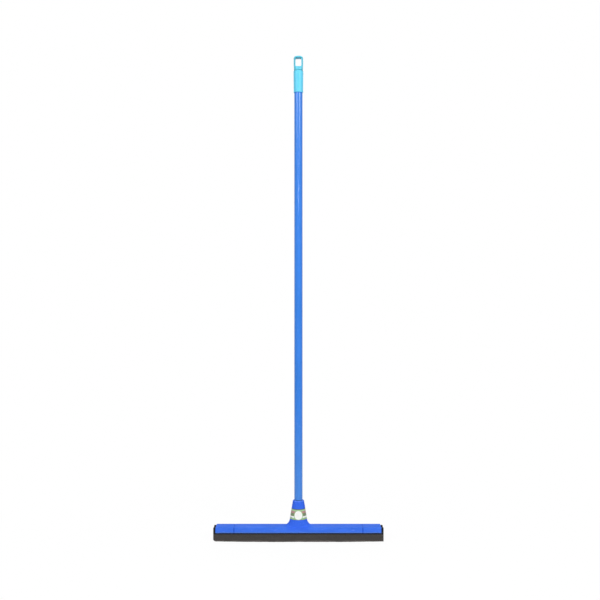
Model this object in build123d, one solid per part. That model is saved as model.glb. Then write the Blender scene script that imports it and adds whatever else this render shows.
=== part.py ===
from build123d import *
import math
import os

# Floor squeegee: a moulded head with twin rubber blades, screwed on a coated steel handle.
# Millimetres. +Z runs up the handle, +X along the blades, and -Y is the front.
# The origin is on the floor, under the handle's axis.

# Rubber blades
BLADE_LENGTH = 450.0
BLADE_THICKNESS = 10.0
BLADE_DROP = 24.3  # bare rubber between the floor and the head's skirt
BLADE_CLEARANCE = 0.2  # gap beside and above each blade in the channel

# Head: a channel open downwards and at both ends
HEAD_LENGTH = 438.0
HEAD_DEPTH = 36.0  # outside, at the top face
HEAD_HEIGHT = 14.6  # top face to skirt edge
HEAD_WALL = 2.2
HEAD_WEB = 2.1
HEAD_DRAFT = 2.0  # degrees, each skirt wall
HEAD_EDGE_RADIUS = 1.8
HEAD_END_RADIUS = 1.2
LIP_HEIGHT = 2.0
LIP_PROUD = 0.8
WITNESS_X = 170.0  # joint lines left by the mould's end inserts
WITNESS_WIDTH = 0.8
WITNESS_DEPTH = 0.5

# Hooked rib under the channel's web, which carries the rail
RIB_STEM = 3.0
RIB_BULB = 5.4
RIB_STEM_HEIGHT = 4.4
RIB_BULB_HEIGHT = 2.4
RIB_END_INSET = 8.0

# Oval neck: round at the mouth, wide at the foot
NECK_HEIGHT = 68.5  # top face to mouth
NECK_MOUTH_RADIUS = 14.6
NECK_MOUTH_BLEND = 2.5
NECK_FOOT_HALF_WIDTH = 25.9  # where the straight sides would meet the top face
NECK_FOOT_HALF_DEPTH = 17.0
NECK_FLARE_RADIUS = 21.0
NECK_FLARE_STEPS = 9
NECK_WALL = 2.8
NECK_FLOOR = 3.0
NECK_RIB = 2.6

# Screw joint between neck and handle; the thread is plain here, at its crest
THREAD_RADIUS = 10.0
THREAD_PITCH = 4.5
THREAD_TURNS = 5
THREAD_TIP = 1.5
THREAD_CLEARANCE = 0.3
BORE_END_GAP = 1.5
MOUTH_DEPTH = 6.0
MOUTH_CLEARANCE = 0.35
MOUTH_CHAMFER = 0.5

# Handle
SKIN_RADIUS = 11.0
SKIN_THICKNESS = 0.25
SKIN_END_GAP = 0.2
TUBE_LENGTH = 1139.1
TUBE_WALL = 0.35
TURN_CLEARANCE = 0.05  # between pieces that turn inside one another
COLLAR_HEIGHT = 3.0
COLLAR_STEP = 0.1  # collar inside the skin's outline
PLUG_LENGTH = 30.0
FERRULE_WALL = 2.2

# End cap
CAP_OVERLAP = 53.5
CAP_ROOF = 3.2
CAP_END_GAP = 0.3
CAP_RIM_RADIUS = 12.65
CAP_RIM_HEIGHT = 4.0  # bead round the open end
CAP_RIM_STEP = 0.25  # bead proud of the sleeve above it
CAP_SHOULDER_RADIUS = 13.0
CAP_EDGE_BLEND = 0.5
CAP_GROOVE_HEIGHT = 2.4
CAP_GROOVE_RADIUS = 10.9
CAP_NECK_RADIUS = 11.9
CAP_NECK_HEIGHT = 2.7
LOOP_HEIGHT = 36.9  # groove to the loop's top
LOOP_HALF_WIDTH = 12.6
LOOP_SWELL = 12.4  # height over which the loop widens from the cap's neck
LOOP_BEND_RADIUS = 6.0
LOOP_DOME_RADIUS = 5.0
LOOP_SIDE_BAR = 4.9
LOOP_TOP_BAR = 4.0
LOOP_SILL = 9.4  # groove to the hole
LOOP_BORDER = 1.1  # flat strip between the hole and the loop's round side
LOOP_SCOOP_RADIUS = 5.0  # where the flats run out on the cap's neck
LOOP_HOLE_CORNER = 3.0
LOOP_HOLE_BLEND = 0.8
LOOP_EDGE_BLEND = 0.4

# Rail between the blades
RAIL_END_INSET = 4.0
RAIL_CLEARANCE = 0.25  # round the hooked rib
RAIL_TOOTH = 0.4
RAIL_TOOTH_COUNT = 3
RAIL_TOOTH_PITCH = 3.0
RAIL_RISE = 1.0  # rail's foot above the skirt edge
RAIL_HOLLOW_WIDTH = 5.0
RAIL_HOLLOW_HEIGHT = 2.4

# Levels and widths that several pieces share
HEAD_TOP = BLADE_DROP + HEAD_HEIGHT
CEILING = HEAD_TOP - HEAD_WEB
SKIRT_SPREAD = HEAD_HEIGHT * math.tan(math.radians(HEAD_DRAFT))
CHANNEL_HALF = HEAD_DEPTH / 2 - HEAD_WALL
BLADE_OUTER = CHANNEL_HALF - BLADE_CLEARANCE
BLADE_INNER = BLADE_OUTER - BLADE_THICKNESS
RAIL_HALF = BLADE_INNER - BLADE_CLEARANCE - RAIL_TOOTH
MOUTH_Z = HEAD_TOP + NECK_HEIGHT
SEAT_Z = MOUTH_Z - MOUTH_DEPTH
FERRULE_TIP_Z = SEAT_Z - THREAD_PITCH * THREAD_TURNS - THREAD_TIP
BORE_FLOOR_Z = FERRULE_TIP_Z - BORE_END_GAP
TUBE_BOTTOM = SEAT_Z + COLLAR_HEIGHT
TUBE_TOP = TUBE_BOTTOM + TUBE_LENGTH
TUBE_RADIUS = SKIN_RADIUS - SKIN_THICKNESS - TURN_CLEARANCE
TUBE_BORE = TUBE_RADIUS - TUBE_WALL
CAP_BORE_END = TUBE_TOP + CAP_END_GAP
CAP_SHOULDER_Z = CAP_BORE_END + CAP_ROOF
CAP_NECK_Z = CAP_SHOULDER_Z + CAP_GROOVE_HEIGHT
LOOP_SEAT = CAP_NECK_Z + CAP_NECK_HEIGHT
LOOP_TOP = CAP_NECK_Z + LOOP_HEIGHT
HOLE_HALF = LOOP_HALF_WIDTH - LOOP_SIDE_BAR
LOOP_HALF_DEPTH = math.sqrt(LOOP_HALF_WIDTH**2 - (HOLE_HALF + LOOP_BORDER) ** 2)


def along_x(section, length):
    """A section drawn in the YZ plane, carried along X to both sides of the handle's axis."""
    return extrude(Plane.YZ * section, amount=length / 2, both=True)


def outline(*points):
    """A closed flat face through a few points."""
    return make_face(Polyline(*points, close=True))


def rectangle(half_width, low, high):
    """A flat face centred on the vertical axis."""
    return outline((-half_width, low), (half_width, low), (half_width, high), (-half_width, high))


def skirt_section(inset=0.0):
    """The channel's drafted outer section without its lip, moved inwards by inset."""
    top = HEAD_DEPTH / 2 - inset
    foot = top + SKIRT_SPREAD
    face = outline((-foot, BLADE_DROP), (foot, BLADE_DROP), (top, HEAD_TOP - inset), (-top, HEAD_TOP - inset))
    return fillet(face.vertices().group_by(Axis.Y)[-1], HEAD_EDGE_RADIUS)


def lip_section():
    """The bead along the skirt's edge, proud of both walls."""
    half = HEAD_DEPTH / 2 + SKIRT_SPREAD + LIP_PROUD
    face = rectangle(half, BLADE_DROP, BLADE_DROP + LIP_HEIGHT)
    return fillet(face.vertices(), LIP_PROUD)


def channel_section():
    """The space for blades and rail, with the walls' draft."""
    foot = CHANNEL_HALF + SKIRT_SPREAD
    return outline((-foot, BLADE_DROP), (foot, BLADE_DROP), (CHANNEL_HALF, CEILING), (-CHANNEL_HALF, CEILING))


def hooked_section(half_stem, half_bulb, top, neck, foot):
    """A T hanging from the level top: stem down to neck, bulb down to foot."""
    return rectangle(half_stem, neck, top) + rectangle(half_bulb, foot, neck)


def channel():
    """The head's long channel, with lip, witness lines and hooked rib."""
    body = along_x(skirt_section() + lip_section(), HEAD_LENGTH)
    ends = body.faces().filter_by(Axis.X).edges().filter_by(GeomType.LINE).filter_by(Axis.Y)
    body = fillet(ends.group_by(Axis.Z)[-1], HEAD_END_RADIUS)
    groove = along_x(skirt_section() - skirt_section(WITNESS_DEPTH), WITNESS_WIDTH)
    for side in (-1, 1):
        body -= Pos(X=side * WITNESS_X) * groove
    body -= along_x(channel_section(), HEAD_LENGTH * 2)
    neck = CEILING - RIB_STEM_HEIGHT
    rib = hooked_section(RIB_STEM / 2, RIB_BULB / 2, HEAD_TOP - HEAD_WEB / 2, neck, neck - RIB_BULB_HEIGHT)
    return body + along_x(rib, HEAD_LENGTH - 2 * RIB_END_INSET)


def neck_share(level):
    """0 at the neck's mouth and 1 at the head's top face."""
    return (MOUTH_Z - level) / NECK_HEIGHT


def neck_half_width(level):
    """Half the neck's width on its straight sides."""
    return NECK_MOUTH_RADIUS + (NECK_FOOT_HALF_WIDTH - NECK_MOUTH_RADIUS) * neck_share(level)


def neck_half_depth(level):
    """Half the neck's depth, front to back."""
    return NECK_MOUTH_RADIUS + (NECK_FOOT_HALF_DEPTH - NECK_MOUTH_RADIUS) * neck_share(level)


def oval(level, half_width, half_depth):
    """A horizontal ellipse at a level."""
    return Plane.XY.offset(level) * Ellipse(half_width, half_depth)


def flare_ovals():
    """Ovals down the arc that joins the neck's straight side to the head's top face."""
    lean = math.atan2(NECK_FOOT_HALF_WIDTH - NECK_MOUTH_RADIUS, NECK_HEIGHT)
    tangent = NECK_FLARE_RADIUS / math.tan((math.pi / 2 + lean) / 2)
    centre_x = NECK_FOOT_HALF_WIDTH + tangent
    centre_z = HEAD_TOP + NECK_FLARE_RADIUS
    ovals = []
    for step in range(NECK_FLARE_STEPS):
        angle = lean + (math.pi / 2 - lean) * step / (NECK_FLARE_STEPS - 1)
        level = centre_z - NECK_FLARE_RADIUS * math.sin(angle)
        half_width = centre_x - NECK_FLARE_RADIUS * math.cos(angle)
        ovals.append(oval(level, half_width, neck_half_depth(level)))
    return ovals


def neck():
    """The oval neck: rounded mouth, straight sides and flared foot."""
    ovals = flare_ovals()
    mouth = oval(MOUTH_Z, NECK_MOUTH_RADIUS, NECK_MOUTH_RADIUS)
    body = loft([mouth, ovals[0]], ruled=True)
    body = fillet(body.faces().sort_by(Axis.Z)[-1].edges(), NECK_MOUTH_BLEND)
    return body + loft(ovals) + extrude(ovals[-1], amount=-HEAD_WEB / 2)


def upright(radius, low, high):
    """A round bar on the handle's axis between two levels."""
    bar = Cylinder(radius, high - low, align=(Align.CENTER, Align.CENTER, Align.MIN))
    return Pos(Z=low) * bar


def socket():
    """The space that the handle's ferrule screws into."""
    mouth_radius = SKIN_RADIUS + MOUTH_CLEARANCE
    space = upright(THREAD_RADIUS + THREAD_CLEARANCE, BORE_FLOOR_Z, MOUTH_Z)
    space += upright(mouth_radius, SEAT_Z, MOUTH_Z)
    lead_in = Cone(
        mouth_radius,
        mouth_radius + MOUTH_CHAMFER,
        MOUTH_CHAMFER,
        align=(Align.CENTER, Align.CENTER, Align.MAX),
    )
    return space + Pos(Z=MOUTH_Z) * lead_in


def neck_core():
    """The cored space under the socket's floor, crossed by two ribs."""
    top = BORE_FLOOR_Z - NECK_FLOOR
    ovals = [
        oval(level, neck_half_width(level) - NECK_WALL, neck_half_depth(level) - NECK_WALL)
        for level in (CEILING, top)
    ]
    ribs = Box(HEAD_LENGTH, NECK_RIB, MOUTH_Z * 2) + Box(NECK_RIB, HEAD_DEPTH, MOUTH_Z * 2)
    return loft(ovals, ruled=True) - ribs


def head_body():
    """Channel and neck in one moulding."""
    return channel() + neck() - socket() - neck_core()


def blade(side):
    """One strip of cellular rubber, in front of the rail (side -1) or behind it (side 1)."""
    low, high = sorted((side * BLADE_INNER, side * BLADE_OUTER))
    top = CEILING - BLADE_CLEARANCE
    return along_x(outline((low, 0), (high, 0), (high, top), (low, top)), BLADE_LENGTH)


def toothed_side(low):
    """Points up one side of the rail, from its foot, with small teeth that grip the rubber."""
    points = []
    for tooth in range(RAIL_TOOTH_COUNT):
        base = low + RAIL_TOOTH_PITCH * (tooth + 0.5)
        points += [(RAIL_HALF, base), (RAIL_HALF + RAIL_TOOTH, base + RAIL_TOOTH)]
        points += [(RAIL_HALF, base + 2 * RAIL_TOOTH)]
    return points


def blade_rail():
    """The rail that holds the blades apart, slotted for the head's hooked rib."""
    low = BLADE_DROP + RAIL_RISE
    high = CEILING - BLADE_CLEARANCE
    right = [(RAIL_HALF, low)] + toothed_side(low) + [(RAIL_HALF, high)]
    left = [(-y, z) for y, z in reversed(right)]
    neck = CEILING - RIB_STEM_HEIGHT + RAIL_CLEARANCE
    foot = neck - RIB_BULB_HEIGHT - 2 * RAIL_CLEARANCE
    slot = hooked_section(
        RIB_STEM / 2 + RAIL_CLEARANCE, RIB_BULB / 2 + RAIL_CLEARANCE, HEAD_TOP, neck, foot
    )
    hollow = rectangle(RAIL_HOLLOW_WIDTH / 2, BLADE_DROP, low + RAIL_HOLLOW_HEIGHT)
    return along_x(outline(*right, *left) - slot - hollow, HEAD_LENGTH - 2 * RAIL_END_INSET)


def handle_tube():
    """The thin steel tube."""
    return upright(TUBE_RADIUS, TUBE_BOTTOM, TUBE_TOP) - upright(TUBE_BORE, TUBE_BOTTOM, TUBE_TOP)


def handle_skin():
    """The plastic film drawn over the tube."""
    low = TUBE_BOTTOM + SKIN_END_GAP
    high = TUBE_TOP - SKIN_END_GAP
    return upright(SKIN_RADIUS, low, high) - upright(SKIN_RADIUS - SKIN_THICKNESS, low, high)


def thread_ferrule():
    """The plastic plug in the tube's end: hollow shank, collar and threaded tip."""
    top = TUBE_BOTTOM + PLUG_LENGTH
    body = upright(THREAD_RADIUS, FERRULE_TIP_Z, SEAT_Z)
    body = chamfer(body.edges().group_by(Axis.Z)[0], THREAD_TIP)
    body += upright(SKIN_RADIUS - COLLAR_STEP, SEAT_Z, TUBE_BOTTOM)
    body += upright(TUBE_BORE - TURN_CLEARANCE, TUBE_BOTTOM, top)
    return body - upright(THREAD_RADIUS - FERRULE_WALL, FERRULE_TIP_Z + FERRULE_WALL, top)


def outer_corner(face, level):
    """The outermost corner of a flat face at a level."""
    return face.vertices().filter_by_position(Axis.Y, level - 0.01, level + 0.01).sort_by(Axis.X)[-1]


def cap_blank():
    """The cap turned about the handle's axis: beaded sleeve, groove, neck and domed loop."""
    rim = TUBE_TOP - CAP_OVERLAP
    bead = rim + CAP_RIM_HEIGHT
    bore = SKIN_RADIUS + TURN_CLEARANCE
    swell = LOOP_SEAT + LOOP_SWELL
    half = outline(
        (0, CAP_BORE_END),
        (bore, CAP_BORE_END),
        (bore, rim),
        (CAP_RIM_RADIUS, rim),
        (CAP_RIM_RADIUS, bead - CAP_RIM_STEP),
        (CAP_RIM_RADIUS - CAP_RIM_STEP, bead),
        (CAP_SHOULDER_RADIUS, CAP_SHOULDER_Z),
        (CAP_GROOVE_RADIUS, CAP_SHOULDER_Z),
        (CAP_GROOVE_RADIUS, CAP_NECK_Z),
        (CAP_NECK_RADIUS, CAP_NECK_Z),
        (CAP_NECK_RADIUS, LOOP_SEAT),
        (LOOP_HALF_WIDTH, swell),
        (LOOP_HALF_WIDTH, LOOP_TOP),
        (0, LOOP_TOP),
    )
    edges = [outer_corner(half, level) for level in (rim, CAP_SHOULDER_Z, CAP_NECK_Z)]
    half = fillet(edges, CAP_EDGE_BLEND)
    half = fillet([outer_corner(half, level) for level in (LOOP_SEAT, swell)], LOOP_BEND_RADIUS)
    half = fillet(outer_corner(half, LOOP_TOP), LOOP_DOME_RADIUS)
    return revolve(Plane.XZ * half, Axis.Z)


def scoop():
    """The space that flattens the loop's back, rounded out at its foot."""
    far = LOOP_HALF_DEPTH + LOOP_HALF_WIDTH
    face = outline(
        (LOOP_HALF_DEPTH, LOOP_SEAT),
        (far, LOOP_SEAT),
        (far, LOOP_TOP),
        (LOOP_HALF_DEPTH, LOOP_TOP),
    )
    foot = face.vertices().group_by(Axis.X)[0].sort_by(Axis.Y)[0]
    return along_x(fillet(foot, LOOP_SCOOP_RADIUS), 4 * LOOP_HALF_WIDTH)


def hang_hole():
    """The rounded opening through the loop, front to back."""
    face = rectangle(HOLE_HALF, CAP_NECK_Z + LOOP_SILL, LOOP_TOP - LOOP_TOP_BAR)
    face = fillet(face.vertices(), LOOP_HOLE_CORNER)
    return extrude(Plane.XZ * face, amount=2 * LOOP_HALF_DEPTH, both=True)


def hang_cap():
    """Sleeve and hanging loop in one moulding, with the loop's edges rounded."""
    back = scoop()
    cap = cap_blank() - back - mirror(back, about=Plane.XZ) - hang_hole()
    flats = cap.faces().filter_by(Axis.Y)
    cap = fillet([edge for flat in flats for edge in flat.inner_wires()[0].edges()], LOOP_HOLE_BLEND)
    flats = cap.faces().filter_by(Axis.Y)
    rims = ShapeList(edge for flat in flats for edge in flat.outer_wire().edges())
    return fillet(rims - rims.filter_by(Axis.X), LOOP_EDGE_BLEND)


PIECES = {
    "head_body": head_body,
    "front_blade": lambda: blade(-1),
    "rear_blade": lambda: blade(1),
    "blade_rail": blade_rail,
    "handle_tube": handle_tube,
    "handle_skin": handle_skin,
    "thread_ferrule": thread_ferrule,
    "hang_cap": hang_cap,
}

os.makedirs("parts", exist_ok=True)
for name, make in PIECES.items():
    export_step(make(), f"parts/{name}.step")
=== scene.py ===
import math

import bmesh
import bpy
import numpy as np
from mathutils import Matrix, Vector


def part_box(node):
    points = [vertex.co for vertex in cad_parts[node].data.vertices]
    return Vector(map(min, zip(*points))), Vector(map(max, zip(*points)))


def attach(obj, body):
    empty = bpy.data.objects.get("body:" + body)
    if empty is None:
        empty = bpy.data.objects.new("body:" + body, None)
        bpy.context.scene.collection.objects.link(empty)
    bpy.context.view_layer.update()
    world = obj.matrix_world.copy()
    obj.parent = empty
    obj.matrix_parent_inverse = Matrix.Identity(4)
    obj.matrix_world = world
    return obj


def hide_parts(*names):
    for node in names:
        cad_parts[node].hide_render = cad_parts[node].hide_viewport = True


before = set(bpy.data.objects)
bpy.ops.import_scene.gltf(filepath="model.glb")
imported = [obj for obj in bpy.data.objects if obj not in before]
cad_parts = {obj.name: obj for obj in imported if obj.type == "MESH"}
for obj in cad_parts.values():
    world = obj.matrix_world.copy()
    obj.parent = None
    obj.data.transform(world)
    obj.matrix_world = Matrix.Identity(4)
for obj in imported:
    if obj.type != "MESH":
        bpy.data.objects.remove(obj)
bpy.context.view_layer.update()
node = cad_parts

# Floor squeegee. Metres, in the CAD model's frame: the floor is z = 0 and the front is -y.

# Levels and a radius that the solids give
LIP_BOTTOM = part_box("head_body")[0].z
NECK_MOUTH_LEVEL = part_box("head_body")[1].z
TUBE_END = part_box("handle_tube")[0].z
FERRULE_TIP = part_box("thread_ferrule")[0].z
FERRULE_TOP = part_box("thread_ferrule")[1].z
FERRULE_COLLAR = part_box("thread_ferrule")[1].x
CAP_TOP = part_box("hang_cap")[1].z

# Head, as the solid has it
HEAD_HALF_DEPTH = 0.0180  # at the top face
HEAD_HEIGHT = 0.0146
LIP_HEIGHT = 0.0020
HEAD_TOP = LIP_BOTTOM + HEAD_HEIGHT
LIP_TOP = LIP_BOTTOM + LIP_HEIGHT
WITNESS_X = 0.170
NECK_MOUTH_RADIUS = 0.0146
NECK_FOOT_HALF_WIDTH = 0.0259
NECK_FOOT_HALF_DEPTH = 0.0170

# Rubber strips: cut edges, and how the free rubber leans, swells and wears
STRIP_EDGE = 0.0007
STRIP_EDGE_STEPS = 5
STRIP_SECTION_STEP = 0.0025
STRIP_STATIONS = 151
STRIP_LEAN = 0.0004
STRIP_SWELL = 0.00035
STRIP_SWELL_HEIGHT = 0.005
STRIP_RAGGED = 0.00006
STRIP_BOW = 0.0013
STRIP_NICK = 0.0045
STRIP_NICK_LENGTH = 0.007
STRIP_LIFT_HEIGHT = 0.012  # above this the foot's lift has died out

# Screw ferrule
THREAD_PITCH = 0.0045
THREAD_DEPTH = 0.0012
THREAD_TIP = 0.0015  # bevel at the tip
THREAD_FADE = 0.003  # height over which the thread runs out below the seat
THREAD_FLANK = 1.3  # steepness of the flanks
THREAD_ROWS = 75
FERRULE_SIDES = 96
FERRULE_SHANK = 0.0100
FERRULE_PLUG = 0.0103
FERRULE_WALL = 0.0022
FERRULE_BORE = FERRULE_SHANK - FERRULE_WALL
COLLAR_HEIGHT = 0.003
FERRULE_SEAT = TUBE_END - COLLAR_HEIGHT
COLLAR_BEVEL = 0.0003
PLUG_BEVEL = 0.001

# Label round the neck's front
LABEL_RISE = 0.0191  # head's top face to the label
LABEL_BOTTOM = HEAD_TOP + LABEL_RISE
LABEL_HEIGHT = 0.0285
LABEL_HALF_WRAP = math.radians(100)
LABEL_HALF_LENGTH = 0.026  # round the neck, near enough to round the corners by
LABEL_LIFT = 0.00016
LABEL_THICKNESS = 0.00012
LABEL_CORNER = 0.004
LABEL_CORNER_STEPS = 9
LABEL_ROWS = 24
LABEL_COLUMNS = 81
PRINT_PROPORTION = 2.3  # length over height of the label's UV map
DISC_MIDDLE = (0.5, 0.44)  # on the UV map
PRINT_BLUR = 0.01

# Places of the finish and of painted light and shade
RIM_HIGHLIGHT_HEIGHT = 0.0016  # painted highlight on the rim under the neck's mouth
EDGE_WIDTH = 0.0012  # along both sides of the head's top
EDGE_LEVELS = (HEAD_TOP - 0.0014, HEAD_TOP - 0.0004)
NECK_SHADE = (0.022, 0.036)  # distance from the middle over which the neck's deeper blue fades
NECK_SHADE_RISE = 0.010
LINE_SHADE_WIDTH = (0.0005, 0.0013)  # dark core and soft side of the painted shade in a witness line's groove
LINE_SHADE_LEVELS = (HEAD_TOP - 0.0016, HEAD_TOP - 0.0004)  # the painted shade grows fainter between them
FOOT_HEIGHT = 0.0032  # paler rubber over the floor
LIP_SHADOW_DROP = 0.0012  # painted shadow of the lip, at full strength from this far below it
DUST_AND_SHEEN_LEVELS = (0.14, 0.36)  # painted floor sheen and dust on the film thin out between them
MOUTH_SHADE_HEIGHT = 0.0010  # painted shade on the film over the neck's mouth
LAP_EDGE = (0.0004, 0.0006)  # step of the film's seam, beside the middle of the back
LAP_BACK = (0.0, 0.002)
CREST_RADII = (0.0096, 0.0100)
LOOP_HEIGHT = 0.0370
LOOP_BAR = 0.0040
GROOVE_HEIGHT = 0.0022
GROOVE_TOP = CAP_TOP - LOOP_HEIGHT
GROOVE_BOTTOM = GROOVE_TOP - GROOVE_HEIGHT
HOLE_TOP = CAP_TOP - LOOP_BAR
HOLE_SHADE_HEIGHT = 0.0030  # painted shade of the hole's underside, below the hole's top
HOLE_SHADE_WIDTH = (0.0076, 0.0100)
PARTING_WIDTH = (0.00005, 0.00022)
UNDER_ALL = -1.0
OVER_ALL = 2.0

# Colours, red, green and blue in linear light
HEAD_BLUE = (0.042, 0.152, 0.730)
HEAD_CLOUD = (0.050, 0.170, 0.790)
HEAD_NECK = (0.034, 0.124, 0.770)
HEAD_EDGE = (0.06, 0.24, 0.84)
# painted sheen on the lip's rounded lower edge
HEAD_LIP_SHEEN = (0.08, 0.17, 0.44)
HEAD_SCUFF = (0.20, 0.32, 0.88)
# painted highlight on the neck's rim
HEAD_RIM_HIGHLIGHT = (0.16, 0.30, 0.92)
# painted shade in the witness lines' grooves
HEAD_LINE_SHADE = (0.002, 0.040, 0.42)
RUBBER_PIT = (0.018, 0.016, 0.015)
RUBBER_SKIN = (0.052, 0.047, 0.043)
RUBBER_DUST = (0.074, 0.069, 0.064)
RUBBER_FOOT = (0.150, 0.132, 0.124)
# painted shadow under the lip
RUBBER_LIP_SHADOW = (0.004, 0.005, 0.010)
RAIL_BLACK = (0.045, 0.045, 0.050)
RAIL_GREY = (0.070, 0.070, 0.076)
STEEL_BRIGHT = (0.60, 0.61, 0.63)
STEEL_DULL = (0.42, 0.40, 0.38)
FILM_BLUE = (0.018, 0.172, 0.630)
FILM_CLOUD = (0.026, 0.190, 0.690)
FILM_STREAK = (0.06, 0.26, 0.80)
FILM_SCUFF = (0.24, 0.44, 0.90)
# painted sheen of the floor, with dust
FILM_DUST_AND_SHEEN = (0.075, 0.250, 0.700)
# painted shade where the film enters the neck
FILM_MOUTH_SHADE = (0.010, 0.050, 0.210)
FERRULE_BLACK = (0.040, 0.040, 0.044)
FERRULE_GREY = (0.060, 0.060, 0.066)
FERRULE_WORN = (0.16, 0.16, 0.17)
CAP_CYAN = (0.108, 0.552, 0.778)
CAP_CLOUD = (0.128, 0.586, 0.808)
# painted shade over the loop
CAP_LOOP_SHADE = (0.13, 0.53, 0.66)
# painted shade in the groove under the loop
CAP_GROOVE_SHADE = (0.04, 0.36, 0.44)
CAP_SCUFF = (0.34, 0.82, 0.97)
# painted shade under the top of the hole
CAP_HOLE_SHADE = (0.0, 0.40, 0.52)
CAP_PARTING = (0.08, 0.50, 0.72)
LABEL_PAPER = (0.80, 0.80, 0.78)
LABEL_FIBRE = (0.88, 0.88, 0.86)
LABEL_OLIVE = (0.16, 0.22, 0.10)
LABEL_GREEN = (0.30, 0.51, 0.26)
LABEL_CLAY = (0.43, 0.22, 0.21)
LABEL_BROWN = (0.045, 0.033, 0.032)
WHITE = (1.0, 1.0, 1.0, 1.0)
MID_GREY = (0.50, 0.50, 0.50, 1.0)


# Meshes

WELD_DISTANCE = 1e-7


def closed_skin(name, rings):
    """Closed mesh over rings of points, an array (rows, around, 3).

    Each ring joins the next by four-sided faces, the last point of a ring joins its first, and a
    fan to the mean point of the first and of the last ring closes the two ends. Points that fall
    on each other are joined.
    """
    rows, around = rings.shape[:2]
    index = np.arange(rows * around).reshape(rows, around)
    beside = np.roll(index, -1, axis=1)
    walls = np.stack([index[:-1], beside[:-1], beside[1:], index[1:]], axis=-1).reshape(-1, 4)
    first = np.full(around, rows * around)
    start = np.stack([first, beside[0], index[0]], axis=-1)
    end = np.stack([first + 1, index[-1], beside[-1]], axis=-1)
    points = np.concatenate([rings.reshape(-1, 3), rings[:1].mean(axis=1), rings[-1:].mean(axis=1)])
    mesh = bpy.data.meshes.new(name)
    mesh.from_pydata(points.tolist(), [], walls.tolist() + start.tolist() + end.tolist())
    welded = bmesh.new()
    welded.from_mesh(mesh)
    bmesh.ops.remove_doubles(welded, verts=welded.verts, dist=WELD_DISTANCE)
    welded.to_mesh(mesh)
    welded.free()
    return finished(name, mesh, crease_degrees=32)


def open_sheet(name, points):
    """Open mesh over a grid of points (rows, columns, 3), with a UV map from 0 to 1 along both."""
    rows, columns = points.shape[:2]
    index = np.arange(rows * columns).reshape(rows, columns)
    corners = [index[:-1, :-1], index[:-1, 1:], index[1:, 1:], index[1:, :-1]]
    faces = np.stack(corners, axis=-1).reshape(-1, 4)
    mesh = bpy.data.meshes.new(name)
    mesh.from_pydata(points.reshape(-1, 3).tolist(), [], faces.tolist())
    across, up = np.meshgrid(np.linspace(0, 1, columns), np.linspace(0, 1, rows))
    spots = np.stack([across, up], axis=-1).reshape(-1, 2)[faces.reshape(-1)]
    mesh.uv_layers.new(name="UVMap").data.foreach_set("uv", spots.astype(np.float32).reshape(-1))
    return finished(name, mesh, crease_degrees=60)


def finished(name, mesh, crease_degrees):
    """Object of a mesh at the origin, shaded smooth but for creases sharper than the angle."""
    mesh.validate()
    mesh.shade_smooth()
    mesh.set_sharp_from_angle(angle=math.radians(crease_degrees))
    piece = bpy.data.objects.new(name, mesh)
    bpy.context.scene.collection.objects.link(piece)
    return piece


def fine_ends(low, high, edge, edge_steps, steps):
    """Places from low to high: even ones in the middle, and over the edge at both ends closer ones.

    Those are spaced as one minus the cosine of even angles up to a right angle.
    """
    near = edge * (1 - np.cos(np.linspace(0, math.pi / 2, edge_steps)))
    middle = np.linspace(low + edge, high - edge, steps)[1:-1]
    return np.concatenate([low + near, middle, high - near[::-1]])


def corner_inset(along, low, high, radius):
    """How far corners rounded by a quarter circle at low and high draw an outline in."""
    into = np.clip(radius - np.minimum(along - low, high - along), 0, radius)
    return radius - np.sqrt(radius ** 2 - into ** 2)


def ripple(x, *waves):
    """Sum of sines along x; a wave has its rate in radians per metre, its height and its start."""
    return sum(height * np.sin(rate * x + start) for rate, height, start in waves)


def rounded_section(half_width, half_height, radius, step, corner_points=6):
    """Points and outward normals around a rectangle with rounded corners.

    Four quarter circles of the radius stand on the corners' centres, and the straight sides between
    them are divided at every step.
    """
    turn = np.radians(np.arange(0, 360, 90)[:, None] + np.linspace(0, 90, corner_points)[None, :])
    normal = np.stack([np.cos(turn), np.sin(turn)], axis=-1)
    quarter = np.array([[1, 1], [-1, 1], [-1, -1], [1, -1]])
    centre = quarter * [half_width - radius, half_height - radius]
    corner = (centre[:, None, :] + radius * normal).reshape(-1, 2)
    normal = normal.reshape(-1, 2)
    corner = np.concatenate([corner, corner[:1]])
    normal = np.concatenate([normal, normal[:1]])
    length = np.concatenate([[0], np.cumsum(np.hypot(*np.diff(corner, axis=0).T))])
    along = np.unique(np.concatenate([length[:-1], np.arange(0, length[-1], step)]).round(7))
    points = np.stack([np.interp(along, length, corner[:, k]) for k in (0, 1)], axis=-1)
    normals = np.stack([np.interp(along, length, normal[:, k]) for k in (0, 1)], axis=-1)
    return points, normals


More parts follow.
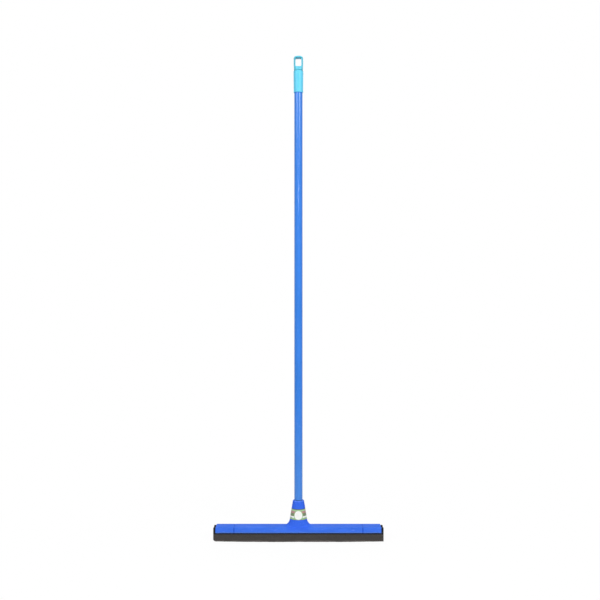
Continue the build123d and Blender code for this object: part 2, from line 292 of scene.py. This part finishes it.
def blade_strip(name, solid, phase, worn_end):
    """Cut strip of cellular rubber: a rounded section carried along the blade's length.

    The section shrinks along its normals by a quarter circle at both ends. Below the channel the
    strip leans to and fro by a sum of three slow sines that grows with the square of the distance
    from the lip, and it swells a little just over the floor. The foot is lifted by a small sum of
    sines, by a cubic law from the middle towards both ends, and by a square law over the last few
    millimetres at the worn end.
    """
    low, high = (np.array(corner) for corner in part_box(solid))
    middle = (low + high) / 2
    half = (high - low) / 2
    points, normals = rounded_section(half[1], half[2], STRIP_EDGE, STRIP_SECTION_STEP)
    x = fine_ends(low[0], high[0], STRIP_EDGE, STRIP_EDGE_STEPS, STRIP_STATIONS)[:, None]
    inset = corner_inset(x, low[0], high[0], STRIP_EDGE)
    y = middle[1] + points[None, :, 0] - inset * normals[None, :, 0]
    z = middle[2] + points[None, :, 1] - inset * normals[None, :, 1]
    free = np.clip(1 - z / LIP_BOTTOM, 0, 1)
    wave = ripple(x, (31, 1.0, phase), (67, 0.6, 2.1 * phase), (143, 0.35, 0.7))
    swell = STRIP_SWELL * np.exp(-(z / STRIP_SWELL_HEIGHT) ** 2) * normals[None, :, 0]
    ragged = STRIP_RAGGED * (2 + ripple(x, (210, 1.0, phase), (530, 1.0, 1.3)))
    bowed = STRIP_BOW * np.abs(x / high[0]) ** 3
    worn = STRIP_NICK * np.clip(1 - (high[0] - x * worn_end) / STRIP_NICK_LENGTH, 0, 1) ** 2
    foot = np.clip(1 - z / STRIP_LIFT_HEIGHT, 0, 1)
    y = y + STRIP_LEAN * wave * free ** 2 + swell
    z = z + (ragged + bowed + worn) * foot
    return closed_skin(name, np.stack(np.broadcast_arrays(x, y, z), axis=-1))


def screw_ferrule(name):
    """Hollow ferrule with a screw thread, turned about the handle's axis.

    A path of radius and height runs from the tip up the outside and back down the bore. Where the
    thread is, the radius falls from the crest by the thread's depth times a clipped cosine of the
    height over the pitch less the turn, which winds upwards to the right. It fades out at the seat.
    """
    rows = np.linspace(FERRULE_TIP + THREAD_TIP, FERRULE_SEAT, THREAD_ROWS, endpoint=False)
    path = np.concatenate([
        [[FERRULE_BORE / 2, FERRULE_TIP, 0], [FERRULE_SHANK - THREAD_TIP, FERRULE_TIP, 0]],
        np.stack([np.full_like(rows, FERRULE_SHANK), rows, np.ones_like(rows)], axis=-1),
        [
            [FERRULE_SHANK, FERRULE_SEAT, 0],
            [FERRULE_COLLAR - COLLAR_BEVEL, FERRULE_SEAT, 0],
            [FERRULE_COLLAR, FERRULE_SEAT + COLLAR_BEVEL, 0],
            [FERRULE_COLLAR, TUBE_END - COLLAR_BEVEL, 0],
            [FERRULE_COLLAR - COLLAR_BEVEL, TUBE_END, 0],
            [FERRULE_PLUG, TUBE_END, 0],
            [FERRULE_PLUG, FERRULE_TOP - PLUG_BEVEL, 0],
            [FERRULE_PLUG - PLUG_BEVEL, FERRULE_TOP, 0],
            [FERRULE_BORE, FERRULE_TOP, 0],
            [FERRULE_BORE, FERRULE_TIP + FERRULE_WALL, 0],
            [FERRULE_BORE / 2, FERRULE_TIP + FERRULE_WALL, 0],
        ],
    ])
    radius, height, threaded = (column[:, None] for column in path.T)
    turn = np.linspace(0, 2 * math.pi, FERRULE_SIDES, endpoint=False)[None, :]
    winding = 2 * math.pi * (height - FERRULE_TIP) / THREAD_PITCH - turn
    flank = np.clip(0.5 + THREAD_FLANK * np.cos(winding), 0, 1)
    fade = np.clip((FERRULE_SEAT - height) / THREAD_FADE, 0, 1) * threaded
    radius = radius - THREAD_DEPTH * fade * (1 - flank)
    rings = np.broadcast_arrays(radius * np.cos(turn), radius * np.sin(turn), height)
    return closed_skin(name, np.stack(rings, axis=-1))


def neck_label(name):
    """Thin label wrapped round the neck's front.

    A point's level gives the oval section of the tapering neck by straight interpolation between
    mouth and foot, and its angle the place on that oval. Near the lower and upper edge the wrap
    narrows by a quarter circle, which rounds the label's corners.
    """
    rise = fine_ends(0, LABEL_HEIGHT, LABEL_CORNER, LABEL_CORNER_STEPS, LABEL_ROWS)[:, None]
    share = np.linspace(-1, 1, LABEL_COLUMNS)[None, :]
    narrow = corner_inset(rise, 0, LABEL_HEIGHT, LABEL_CORNER) / LABEL_HALF_LENGTH
    turn = -math.pi / 2 + share * (1 - narrow) * LABEL_HALF_WRAP
    level = LABEL_BOTTOM + rise + 0 * share
    down = (NECK_MOUTH_LEVEL - level) / (NECK_MOUTH_LEVEL - HEAD_TOP)
    wide = NECK_MOUTH_RADIUS + (NECK_FOOT_HALF_WIDTH - NECK_MOUTH_RADIUS) * down + LABEL_LIFT
    deep = NECK_MOUTH_RADIUS + (NECK_FOOT_HALF_DEPTH - NECK_MOUTH_RADIUS) * down + LABEL_LIFT
    piece = open_sheet(name, np.stack([wide * np.cos(turn), deep * np.sin(turn), level], axis=-1))
    wall = piece.modifiers.new("paper", "SOLIDIFY")
    wall.thickness = LABEL_THICKNESS
    wall.offset = -1
    return piece


# Node helpers

def place(tree, kind, sockets=None, **settings):
    """New node with its own settings; sockets gives inputs a value or another node's output."""
    made = tree.nodes.new(kind)
    for name, value in settings.items():
        setattr(made, name, value)
    for key, value in (sockets or {}).items():
        if isinstance(value, bpy.types.NodeSocket):
            tree.links.new(value, made.inputs[key])
        else:
            made.inputs[key].default_value = value
    return made


def maths(tree, operation, *values):
    """Result of a Math node on one to three values."""
    return place(tree, "ShaderNodeMath", dict(enumerate(values)), operation=operation).outputs[0]


def times(tree, first, second):
    """Product of two values."""
    return maths(tree, "MULTIPLY", first, second)


def plus(tree, base, mask, amount):
    """Base with the amount added where the mask is 1."""
    return maths(tree, "MULTIPLY_ADD", mask, amount, base)


def apart(tree, value, middle):
    """Distance between a value and a middle one, whichever is the greater."""
    return maths(tree, "ABSOLUTE", maths(tree, "SUBTRACT", value, middle))


def axes(tree, vector):
    """X, Y and Z of a vector."""
    return place(tree, "ShaderNodeSeparateXYZ", {0: vector}).outputs


def ramp(tree, value, low, high, first=0.0, last=1.0):
    """Value carried from the range low..high to first..last, with soft ends."""
    sockets = {"Value": value, "From Min": low, "From Max": high, "To Min": first, "To Max": last}
    return place(tree, "ShaderNodeMapRange", sockets, interpolation_type="SMOOTHSTEP").outputs["Result"]


def fall(tree, value, low, high, top=1.0):
    """Mask that falls softly from top at low to 0 at high."""
    return ramp(tree, value, low, high, top, 0.0)


def tint(tree, share, first, second):
    """Colour that goes from first to second by share."""
    sockets = {0: share, 6: as_colour(first), 7: as_colour(second)}
    return place(tree, "ShaderNodeMix", sockets, data_type="RGBA").outputs[2]


def overlay(tree, colour, mask, amount, second):
    """Colour with a second one laid over it, as far as mask times amount says."""
    return tint(tree, times(tree, mask, amount), colour, second)


def as_colour(value):
    """Red, green and blue with full alpha; another node's output stays as it is."""
    return (*value, 1.0) if isinstance(value, tuple) else value


def noise(tree, vector, scale, detail=2.0, roughness=0.5):
    """Cloudy value between 0 and 1."""
    sockets = {"Vector": vector, "Scale": scale, "Detail": detail, "Roughness": roughness}
    return place(tree, "ShaderNodeTexNoise", sockets).outputs["Fac"]


def bubbles(tree, vector, scale):
    """Distance from the middle of the nearest cell of a foam."""
    return place(tree, "ShaderNodeTexVoronoi", {"Vector": vector, "Scale": scale}).outputs["Distance"]


def stretched(tree, vector, x=1.0, y=1.0, z=1.0):
    """Coordinates scaled along the three axes, which draws a pattern out along the smallest."""
    return place(tree, "ShaderNodeMapping", {"Vector": vector, "Scale": (x, y, z)}).outputs[0]


def shared(tree, group, **sockets):
    """Outputs of a shared effect with its own values."""
    return place(tree, "ShaderNodeGroup", sockets, node_tree=group).outputs


# Effects that several materials share

def effect(name, inputs, outputs):
    """Empty node group with named sockets, and its input and output nodes' sockets."""
    tree = bpy.data.node_groups.new(name, "ShaderNodeTree")
    for way, sockets in (("INPUT", inputs), ("OUTPUT", outputs)):
        for label, kind in sockets.items():
            tree.interface.new_socket(name=label, in_out=way, socket_type="NodeSocket" + kind)
    return tree, place(tree, "NodeGroupInput").outputs, place(tree, "NodeGroupOutput").inputs


def moulded_grain():
    """Grain of a moulded surface: a fine height, and a slow cloud for gloss and tint."""
    inputs = {"Vector": "Vector", "Scale": "Float"}
    tree, given, gives = effect("moulded_grain", inputs, {"Height": "Float", "Cloud": "Float"})
    fine = noise(tree, given["Vector"], given["Scale"], detail=3.0, roughness=0.6)
    peel = noise(tree, given["Vector"], times(tree, given["Scale"], 0.18), detail=1.0)
    cloud = noise(tree, given["Vector"], times(tree, given["Scale"], 0.02), detail=3.0, roughness=0.55)
    tree.links.new(plus(tree, times(tree, fine, 0.4), peel, 0.6), gives["Height"])
    tree.links.new(ramp(tree, cloud, 0.3, 0.7), gives["Cloud"])
    return tree


def rub_marks():
    """Mask of thin rub marks: two drawn-out noises, each cut to its crests, side by side."""
    inputs = {"Vector": "Vector", "Scale": "Float", "Amount": "Float"}
    tree, given, gives = effect("rub_marks", inputs, {"Mask": "Float"})
    cut = maths(tree, "SUBTRACT", 0.72, times(tree, given["Amount"], 0.2))
    full = maths(tree, "ADD", cut, 0.08)
    upright = stretched(tree, given["Vector"], y=0.12, z=0.9)
    level = stretched(tree, given["Vector"], x=0.14)
    first, second = (
        ramp(tree, noise(tree, drawn, given["Scale"], detail=4.0, roughness=0.6), cut, full)
        for drawn in (upright, level)
    )
    tree.links.new(maths(tree, "MAXIMUM", first, second), gives["Mask"])
    return tree


def level_band():
    """Mask of a band between two heights, with soft edges."""
    inputs = {"Vector": "Vector", "Low": "Float", "High": "Float", "Soft": "Float"}
    tree, given, gives = effect("level_band", inputs, {"Mask": "Float"})
    level = axes(tree, given["Vector"])["Z"]
    over = ramp(tree, level, maths(tree, "SUBTRACT", given["Low"], given["Soft"]), given["Low"])
    under = fall(tree, level, given["High"], maths(tree, "ADD", given["High"], given["Soft"]))
    tree.links.new(times(tree, over, under), gives["Mask"])
    return tree


GRAIN = moulded_grain()
RUB = rub_marks()
BAND = level_band()


def rubbed(tree, where, scale, amount):
    """Mask of the shared rub marks."""
    return shared(tree, RUB, Vector=where, Scale=scale, Amount=amount)["Mask"]


def band(tree, where, low, high, soft):
    """Mask of the shared band between two heights."""
    return shared(tree, BAND, Vector=where, Low=low, High=high, Soft=soft)["Mask"]


# Materials

def finish(name, specular=0.5, coat=0.0, coat_roughness=0.1):
    """New material: its tree, its Principled shader and the Object coordinates."""
    material = bpy.data.materials.new(name)
    material.use_nodes = True
    tree = material.node_tree
    shader = tree.nodes["Principled BSDF"]
    shader.inputs["Specular IOR Level"].default_value = specular
    shader.inputs["Coat Weight"].default_value = coat
    shader.inputs["Coat Roughness"].default_value = coat_roughness
    return material, tree, shader, place(tree, "ShaderNodeTexCoord").outputs["Object"]


def surface(tree, shader, colour, roughness, height, distance):
    """Joins a colour, a roughness and a bump, distance metres high, to the shader."""
    bump = place(tree, "ShaderNodeBump", {"Strength": 1.0, "Distance": distance, "Height": height})
    tree.links.new(colour, shader.inputs["Base Color"])
    tree.links.new(roughness, shader.inputs["Roughness"])
    tree.links.new(bump.outputs[0], shader.inputs["Normal"])


def blue_moulding():
    """Head: blue satin plastic, cloudy along the flow, deeper round the neck, with a painted sheen on the
    lip, a painted highlight on the rim and painted shade in the witness lines.
    """
    material, tree, shader, where = finish("blue_moulding", specular=0.06)
    axis = axes(tree, where)
    aside = apart(tree, axis["X"], 0.0)
    grain = shared(tree, GRAIN, Vector=where, Scale=1500.0)
    marks = rubbed(tree, where, scale=420.0, amount=0.55)
    flow = ramp(tree, noise(tree, stretched(tree, where, x=0.25), scale=60.0, detail=3.0), 0.35, 0.65)
    lip = band(tree, where, LIP_BOTTOM, LIP_TOP, soft=0.0004)
    rim = band(tree, where, NECK_MOUTH_LEVEL - RIM_HIGHLIGHT_HEIGHT, OVER_ALL, soft=0.0012)
    over_lip = ramp(tree, axis["Z"], LIP_TOP, LIP_TOP + NECK_SHADE_RISE)
    near_neck = times(tree, fall(tree, aside, *NECK_SHADE, top=0.7), over_lip)
    outward = ramp(tree, apart(tree, axis["Y"], 0.0), HEAD_HALF_DEPTH - EDGE_WIDTH, HEAD_HALF_DEPTH)
    edge = times(tree, outward, ramp(tree, axis["Z"], *EDGE_LEVELS))
    # painted shade in the witness lines' grooves, fainter near the top
    line = fall(tree, apart(tree, aside, WITNESS_X), *LINE_SHADE_WIDTH)
    line = times(tree, line, ramp(tree, axis["Z"], *LINE_SHADE_LEVELS, first=0.9, last=0.3))
    colour = tint(tree, flow, HEAD_BLUE, HEAD_CLOUD)
    colour = tint(tree, near_neck, colour, HEAD_NECK)
    colour = overlay(tree, colour, edge, 0.08, HEAD_EDGE)
    # painted sheen along the lip
    colour = overlay(tree, colour, lip, 0.80, HEAD_LIP_SHEEN)
    colour = overlay(tree, colour, marks, 0.25, HEAD_SCUFF)
    # painted highlight on the rim under the neck's mouth
    colour = overlay(tree, colour, rim, 0.35, HEAD_RIM_HIGHLIGHT)
    colour = tint(tree, line, colour, HEAD_LINE_SHADE)
    roughness = plus(tree, 0.52, grain["Cloud"], 0.10)
    roughness = plus(tree, roughness, maths(tree, "MAXIMUM", marks, lip), 0.14)
    surface(tree, shader, colour, roughness, grain["Height"], 0.00006)
    return material


def cell_rubber():
    """Blade: charcoal cellular rubber with cut cells, a dusty cloud, a painted shadow of the lip over its
    top and a paler foot.
    """
    material, tree, shader, where = finish("cell_rubber", specular=0.25)
    cells = ramp(tree, bubbles(tree, where, scale=1100.0), 0.05, 0.45)
    pores = ramp(tree, bubbles(tree, where, scale=420.0), 0.02, 0.30)
    pits = times(tree, cells, pores)
    dust = noise(tree, stretched(tree, where, x=0.3), scale=140.0, detail=4.0, roughness=0.6)
    dust = ramp(tree, dust, 0.35, 0.7)
    foot = band(tree, where, UNDER_ALL, FOOT_HEIGHT, soft=0.0016)
    uneven = noise(tree, stretched(tree, where, y=0.3, z=0.3), scale=22.0)
    uneven = ramp(tree, uneven, 0.38, 0.62, first=0.15, last=0.75)
    lip_shadow = band(tree, where, LIP_BOTTOM - LIP_SHADOW_DROP, OVER_ALL, soft=0.0048)
    colour = tint(tree, pits, RUBBER_PIT, RUBBER_SKIN)
    colour = overlay(tree, colour, dust, 0.35, RUBBER_DUST)
    colour = overlay(tree, colour, foot, uneven, RUBBER_FOOT)
    # painted shadow of the lip on the rubber's top
    colour = overlay(tree, colour, lip_shadow, 0.9, RUBBER_LIP_SHADOW)
    surface(tree, shader, colour, plus(tree, 0.82, dust, 0.10), pits, 0.00025)
    return material


def black_rail():
    """Rail between the blades: black extruded plastic with drawing lines along its length."""
    material, tree, shader, where = finish("black_rail")
    grain = shared(tree, GRAIN, Vector=where, Scale=1800.0)
    lines = noise(tree, stretched(tree, where, x=0.01), scale=1600.0)
    colour = tint(tree, grain["Cloud"], RAIL_BLACK, RAIL_GREY)
    height = maths(tree, "ADD", lines, grain["Height"])
    surface(tree, shader, colour, plus(tree, 0.45, lines, 0.20), height, 0.00005)
    return material


def tube_steel():
    """Bare steel of the tube under its film: fine lines drawn along the tube, a few dull spots."""
    material, tree, shader, where = finish("tube_steel")
    shader.inputs["Metallic"].default_value = 1.0
    lines = noise(tree, stretched(tree, where, z=0.01), scale=2400.0, detail=3.0, roughness=0.6)
    spots = ramp(tree, noise(tree, where, scale=160.0, detail=4.0, roughness=0.6), 0.58, 0.75)
    colour = tint(tree, spots, STEEL_BRIGHT, STEEL_DULL)
    roughness = plus(tree, plus(tree, 0.22, lines, 0.16), spots, 0.25)
    surface(tree, shader, colour, roughness, lines, 0.00003)
    return material


def blue_film():
    """Handle: glossy blue film, streaky along the tube, paler lower down from painted floor sheen and dust,
    with painted shade over the neck's mouth and a lapped seam behind.
    """
    material, tree, shader, where = finish("blue_film", specular=0.35)
    axis = axes(tree, where)
    streaks = noise(tree, stretched(tree, where, x=-1.0, z=0.02), scale=900.0, detail=3.0, roughness=0.55)
    cloud = ramp(tree, noise(tree, stretched(tree, where, z=0.15), scale=45.0, detail=3.0), 0.35, 0.65)
    marks = rubbed(tree, where, scale=260.0, amount=0.45)
    lap = times(tree, ramp(tree, axis["X"], *LAP_EDGE), ramp(tree, axis["Y"], *LAP_BACK))
    dust_and_sheen = times(tree, fall(tree, axis["Z"], *DUST_AND_SHEEN_LEVELS, top=0.85), plus(tree, 0.65, cloud, 0.35))
    mouth_shade = band(tree, where, UNDER_ALL, NECK_MOUTH_LEVEL + MOUTH_SHADE_HEIGHT, soft=0.0018)
    colour = tint(tree, cloud, FILM_BLUE, FILM_CLOUD)
    colour = overlay(tree, colour, ramp(tree, streaks, 0.5, 0.75), 0.15, FILM_STREAK)
    colour = overlay(tree, colour, marks, 0.18, FILM_SCUFF)
    # painted floor sheen and dust, paler lower down
    colour = tint(tree, dust_and_sheen, colour, FILM_DUST_AND_SHEEN)
    # painted shade on the film just over the neck's mouth
    colour = overlay(tree, colour, mouth_shade, 0.75, FILM_MOUTH_SHADE)
    roughness = plus(tree, plus(tree, 0.12, streaks, 0.12), marks, 0.16)
    height = plus(tree, times(tree, streaks, 0.15), lap, 1.2)
    surface(tree, shader, colour, roughness, height, 0.00008)
    return material


def black_ferrule():
    """Screw ferrule: black satin plastic, greyer where the thread's crests have rubbed."""
    material, tree, shader, where = finish("black_ferrule")
    grain = shared(tree, GRAIN, Vector=where, Scale=1600.0)
    marks = rubbed(tree, where, scale=700.0, amount=0.7)
    flat = stretched(tree, where, z=0.0)
    reach = place(tree, "ShaderNodeVectorMath", {0: flat}, operation="LENGTH").outputs["Value"]
    worn = times(tree, ramp(tree, reach, *CREST_RADII), plus(tree, 0.3, marks, 0.6))
    colour = tint(tree, grain["Cloud"], FERRULE_BLACK, FERRULE_GREY)
    colour = tint(tree, worn, colour, FERRULE_WORN)
    roughness = plus(tree, plus(tree, 0.38, grain["Cloud"], 0.1), worn, 0.2)
    surface(tree, shader, colour, roughness, grain["Height"], 0.00006)
    return material


def cyan_moulding():
    """Cap: pale cyan satin plastic with a parting line, and painted shade over the loop, in the groove
    under it and at the top of the hole.
    """
    material, tree, shader, where = finish("cyan_moulding", specular=0.22)
    axis = axes(tree, where)
    grain = shared(tree, GRAIN, Vector=where, Scale=1700.0)
    marks = rubbed(tree, where, scale=500.0, amount=0.5)
    parting = fall(tree, apart(tree, axis["Y"], 0.0), *PARTING_WIDTH)
    groove = band(tree, where, GROOVE_BOTTOM, GROOVE_TOP, soft=0.0003)
    loop = band(tree, where, GROOVE_TOP, OVER_ALL, soft=0.0006)
    # painted shade on the hole's top face and the bar in front of it
    hole_shade = band(tree, where, HOLE_TOP - HOLE_SHADE_HEIGHT, HOLE_TOP + 0.0003, soft=0.0008)
    hole_shade = times(tree, hole_shade, fall(tree, apart(tree, axis["X"], 0.0), *HOLE_SHADE_WIDTH))
    colour = tint(tree, grain["Cloud"], CAP_CYAN, CAP_CLOUD)
    # painted shade over the whole loop
    colour = overlay(tree, colour, loop, 0.7, CAP_LOOP_SHADE)
    # painted shade in the groove
    colour = overlay(tree, colour, groove, 0.85, CAP_GROOVE_SHADE)
    colour = overlay(tree, colour, marks, 0.25, CAP_SCUFF)
    # painted shade under the hole's top
    colour = overlay(tree, colour, hole_shade, 0.9, CAP_HOLE_SHADE)
    colour = overlay(tree, colour, parting, 0.3, CAP_PARTING)
    roughness = plus(tree, plus(tree, 0.32, grain["Cloud"], 0.10), marks, 0.14)
    height = plus(tree, grain["Height"], parting, 1.5)
    surface(tree, shader, colour, roughness, height, 0.00006)
    return material


def printed_label():
    """Label: straight olive, clay and brown bands over pale green ones, with a ringed white disc in front.

    Places are on the label's UV map, which gives each row of the mesh the same height, so that the
    bands along the lower and upper edge, where the rows lie closer, come out narrow.
    """
    material, tree, shader, where = finish("printed_label", coat=0.3, coat_roughness=0.2)
    spot = axes(tree, place(tree, "ShaderNodeTexCoord").outputs["UV"])
    fibre = noise(tree, where, scale=900.0, detail=3.0, roughness=0.6)
    paper = tint(tree, fibre, LABEL_PAPER, LABEL_FIBRE)
    aside = times(tree, maths(tree, "SUBTRACT", spot["X"], DISC_MIDDLE[0]), PRINT_PROPORTION)
    above = maths(tree, "SUBTRACT", spot["Y"], DISC_MIDDLE[1])
    reach = maths(tree, "SQRT", plus(tree, times(tree, aside, aside), above, above))
    bands = (
        (0.10, LABEL_GREEN), (0.24, paper), (0.36, LABEL_OLIVE),
        (0.58, LABEL_CLAY), (0.74, LABEL_GREEN), (0.88, LABEL_BROWN),
    )
    colour = LABEL_OLIVE
    for low, shade in bands:
        colour = tint(tree, ramp(tree, spot["Y"], low, low + PRINT_BLUR), colour, shade)
    for radius, shade in ((0.40, LABEL_GREEN), (0.34, paper)):
        colour = tint(tree, fall(tree, reach, radius - PRINT_BLUR, radius), colour, shade)
    surface(tree, shader, colour, plus(tree, 0.30, fibre, 0.15), fibre, 0.00003)
    return material


def dress(piece, material):
    """Gives a piece its one material."""
    piece.data.materials.clear()
    piece.data.materials.append(material)


# The object

dress(node["head_body"], blue_moulding())
dress(node["blade_rail"], black_rail())
dress(node["handle_tube"], tube_steel())
dress(node["handle_skin"], blue_film())
dress(node["hang_cap"], cyan_moulding())

rubber = cell_rubber()
STRIPS = (("front_strip", "front_blade", 1, -1), ("rear_strip", "rear_blade", 2, 1))
for strip_name, solid, phase, worn_end in STRIPS:
    strip = blade_strip(strip_name, solid, phase, worn_end)
    dress(strip, rubber)
    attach(strip, "head")
    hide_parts(solid)

ferrule = screw_ferrule("screw_ferrule")
dress(ferrule, black_ferrule())
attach(ferrule, "handle")
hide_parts("thread_ferrule")

label = neck_label("neck_label")
dress(label, printed_label())
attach(label, "head")


# The studio

CAMERA_PLACE = (0.0042, -2.05, 0.639)
CAMERA_LENS = 46.24
SOFTBOX_SWING = math.radians(38)  # to each side of the front
SOFTBOX_REACH = 3.0
SOFTBOX_LEVEL = 2.09
SOFTBOX_HEIGHT = 0.72
SOFTBOX_TILT = 66
FLOOR_HALF = 8.0
FLOOR_SHADE = (0.2, 0.9)  # distance from the object over which the floor's shade fades

scene = bpy.context.scene
scene.view_settings.view_transform = "Standard"

view = bpy.data.cameras.new("photo_view")
view.sensor_width = 36.0
view.lens = CAMERA_LENS
view.clip_end = 60.0
camera = bpy.data.objects.new("photo_view", view)
camera.location = CAMERA_PLACE
camera.rotation_euler = (math.radians(90), 0.0, 0.0)
scene.collection.objects.link(camera)
scene.camera = camera


def lamp(name, size, power, place_at, tilt, turn=0.0):
    """Soft rectangular lamp on its stand; a tilt of 0 shines straight down, one of 90 degrees along +y."""
    light = bpy.data.lights.new(name, "AREA")
    light.shape = "RECTANGLE"
    light.size, light.size_y = size
    light.energy = power
    stand = bpy.data.objects.new(name, light)
    stand.location = place_at
    stand.rotation_euler = (math.radians(tilt), 0.0, turn)
    scene.collection.objects.link(stand)
    return stand


for side, width, power, lamp_name in ((-1, 1.20, 38.0, "left_softbox"), (1, 0.60, 51.0, "right_softbox")):
    swing = SOFTBOX_SWING * side
    corner = (SOFTBOX_REACH * math.sin(swing), -SOFTBOX_REACH * math.cos(swing), SOFTBOX_LEVEL)
    lamp(lamp_name, (width, SOFTBOX_HEIGHT), power, corner, SOFTBOX_TILT, swing)
lamp("back_fill", (1.6, 1.2), 40.0, (0.0, 3.0, 0.95), 88, math.pi).visible_glossy = False
lamp("front_lamp", (0.80, 0.20), 6.0, (-0.12, -2.5, 1.29), 80)
lamp("low_fill", (4.0, 0.5), 9.0, (0.0, -2.35, 0.28), 90).visible_glossy = False
lamp("top_panel", (2.0, 2.0), 8.0, (0.0, -0.3, 3.0), 0)


def seen(tree):
    """1 for what the camera sees straight on, in gloss or through glass, and 0 for the light itself."""
    path = place(tree, "ShaderNodeLightPath").outputs
    mirrored = maths(tree, "MAXIMUM", path["Is Glossy Ray"], path["Is Transmission Ray"])
    return maths(tree, "MAXIMUM", path["Is Camera Ray"], mirrored)


def mixed(tree, share, first, second):
    """Shader that goes from the first node's to the second's by share."""
    return place(tree, "ShaderNodeMixShader", {0: share, 1: first.outputs[0], 2: second.outputs[0]})


def white_studio():
    """World that lights the object softly and looks white."""
    world = bpy.data.worlds.new("white_studio")
    world.use_nodes = True
    tree = world.node_tree
    tree.nodes.clear()
    fill = place(tree, "ShaderNodeBackground", {"Color": WHITE, "Strength": 0.40})
    backdrop = place(tree, "ShaderNodeBackground", {"Color": WHITE, "Strength": 1.0})
    both = mixed(tree, seen(tree), fill, backdrop)
    place(tree, "ShaderNodeOutputWorld", {"Surface": both.outputs[0]})
    return world


def pale_floor():
    """Floor that looks white but for the object's faint shade, and is clear from below."""
    material = bpy.data.materials.new("pale_floor")
    material.use_nodes = True
    tree = material.node_tree
    tree.nodes.clear()
    where = place(tree, "ShaderNodeTexCoord").outputs["Object"]
    away = place(tree, "ShaderNodeVectorMath", {0: where}, operation="LENGTH").outputs["Value"]
    matt = place(tree, "ShaderNodeBsdfDiffuse", {"Color": MID_GREY})
    chalk = place(tree, "ShaderNodeBsdfDiffuse", {"Color": WHITE})
    white = place(tree, "ShaderNodeEmission", {"Color": WHITE, "Strength": 1.0})
    shaded = mixed(tree, ramp(tree, away, *FLOOR_SHADE, first=0.95), chalk, white)
    top_side = mixed(tree, seen(tree), matt, shaded)
    clear = place(tree, "ShaderNodeBsdfTransparent")
    under_side = place(tree, "ShaderNodeNewGeometry").outputs["Backfacing"]
    one_sided = mixed(tree, under_side, top_side, clear)
    place(tree, "ShaderNodeOutputMaterial", {"Surface": one_sided.outputs[0]})
    return material


scene.world = white_studio()

floor_mesh = bpy.data.meshes.new("studio_floor")
floor_corners = [(x * FLOOR_HALF, y * FLOOR_HALF, 0) for x, y in ((-1, -1), (1, -1), (1, 1), (-1, 1))]
floor_mesh.from_pydata(floor_corners, [], [(0, 1, 2, 3)])
floor = bpy.data.objects.new("studio_floor", floor_mesh)
scene.collection.objects.link(floor)
dress(floor, pale_floor())
